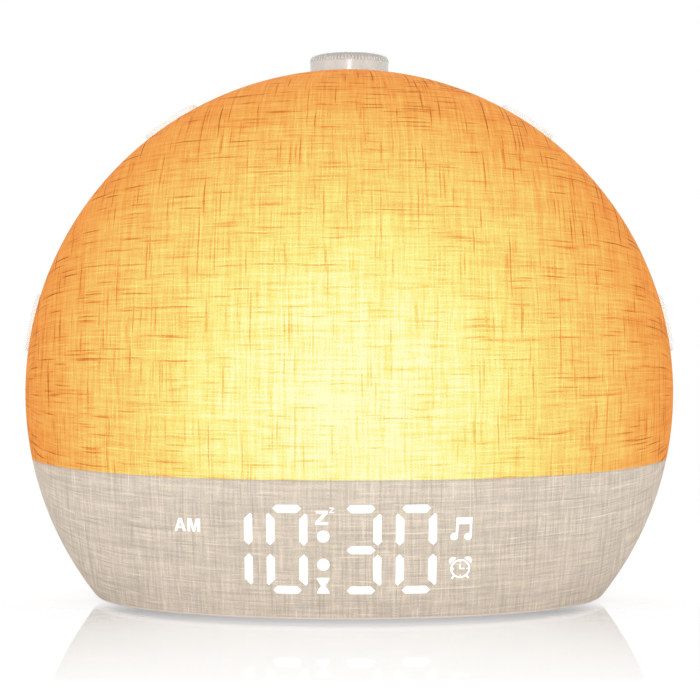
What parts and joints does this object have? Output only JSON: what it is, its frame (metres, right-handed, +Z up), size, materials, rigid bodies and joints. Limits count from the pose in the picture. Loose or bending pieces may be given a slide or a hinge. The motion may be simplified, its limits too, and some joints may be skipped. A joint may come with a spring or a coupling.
{
  "type": "sunrise alarm clock",
  "caption": "Round table lamp and alarm clock with a glowing cloth dome, a time display behind the plain lower band, a turning push dial on top and keys on the rim.",
  "frame": {"origin": "middle of the footprint, on the surface that the clock stands on", "axes": "+Z up, -Y out of the cloth front, +X to the viewer's right"},
  "size_m": [0.1822, 0.103, 0.153],
  "materials": {
    "woven_cloth": "linen-look weave with slubs, glowing above the light line",
    "milky_plastic": "milky",
    "dark_plastic": "fine matte",
    "white_plastic": "matte white",
    "cream_plastic": "fine satin texture",
    "lamp_aluminium": "white solder mask over aluminium",
    "green_board": "solder mask",
    "led_face": "phosphor",
    "plated_steel": "nickel plated",
    "black_plastic": "moulded",
    "grey_rubber": "soft matte",
    "dark_magnet": "bare ferrite",
    "cone_paper": "pressed pulp",
    "lead_sheath": "soft sheath"
  },
  "bodies": {
    "root": {"fabric_cover": "woven_cloth", "dome_diffuser": "milky_plastic", "front_bezel": "dark_plastic", "reflector": "white_plastic", "lamp_board": "lamp_aluminium", "lamp_leds": "led_face", "lamp_screws": "plated_steel", "display_mask": "dark_plastic", "display_pipes": "milky_plastic", "display_leds": "led_face", "display_board": "green_board", "display_screws": "plated_steel", "rear_housing": "cream_plastic", "housing_screws": "plated_steel", "base_plate": "cream_plastic", "base_screws": "plated_steel", "feet": "grey_rubber", "encoder_body": "plated_steel", "encoder_washer": "plated_steel", "encoder_nut": "plated_steel", "encoder_board": "green_board", "encoder_screws": "plated_steel", "key_switches": "dark_plastic", "key_boards": "green_board", "key_board_screws": "plated_steel", "main_board": "green_board", "main_board_screws": "plated_steel", "power_inlet": "dark_plastic", "cell_holder": "dark_plastic", "coin_cell": "plated_steel", "board_chips": "dark_plastic", "board_capacitors": "plated_steel", "board_plugs": "white_plastic", "speaker_frame": "dark_plastic", "speaker_magnet": "dark_magnet", "speaker_cone": "cone_paper", "speaker_surround": "grey_rubber", "speaker_gasket": "grey_rubber", "speaker_screws": "plated_steel", "lamp_leads": "lead_sheath", "speaker_leads": "lead_sheath", "display_leads": "lead_sheath", "dial_leads": "lead_sheath", "key_leads": "lead_sheath"},
    "dial_push": {"dial_push_pin": "black_plastic"},
    "dial": {"dial_cap": "cream_plastic", "dial_shaft": "plated_steel"},
    "key_lower_left": {"key_lower_left": "cream_plastic", "plunger_lower_left": "black_plastic"},
    "key_upper_left": {"key_upper_left": "cream_plastic", "plunger_upper_left": "black_plastic"},
    "key_upper_right": {"key_upper_right": "cream_plastic", "plunger_upper_right": "black_plastic"},
    "key_lower_right": {"key_lower_right": "cream_plastic", "plunger_lower_right": "black_plastic"}
  },
  "joints": [
    {"name": "dial_press", "type": "slide", "parent": "root", "child": "dial_push", "axis": [0, 0, -1], "range_m": [0, 0.0005], "stiffness_N_per_m": 4000},
    {"name": "dial_turn", "type": "hinge", "parent": "dial_push", "child": "dial", "pos_m": [0, 0.0185, 0.1432], "axis": [0, 0, 1], "continuous": true},
    {"name": "lower_left_press", "type": "slide", "parent": "root", "child": "key_lower_left", "axis": [0.9763, 0, -0.2164], "range_m": [0, 0.0005], "stiffness_N_per_m": 3000},
    {"name": "upper_left_press", "type": "slide", "parent": "root", "child": "key_upper_left", "axis": [0.549, 0, -0.8358], "range_m": [0, 0.0005], "stiffness_N_per_m": 3000},
    {"name": "upper_right_press", "type": "slide", "parent": "root", "child": "key_upper_right", "axis": [-0.549, 0, -0.8358], "range_m": [0, 0.0005], "stiffness_N_per_m": 3000},
    {"name": "lower_right_press", "type": "slide", "parent": "root", "child": "key_lower_right", "axis": [-0.9763, 0, -0.2164], "range_m": [0, 0.0005], "stiffness_N_per_m": 3000}
  ]
}
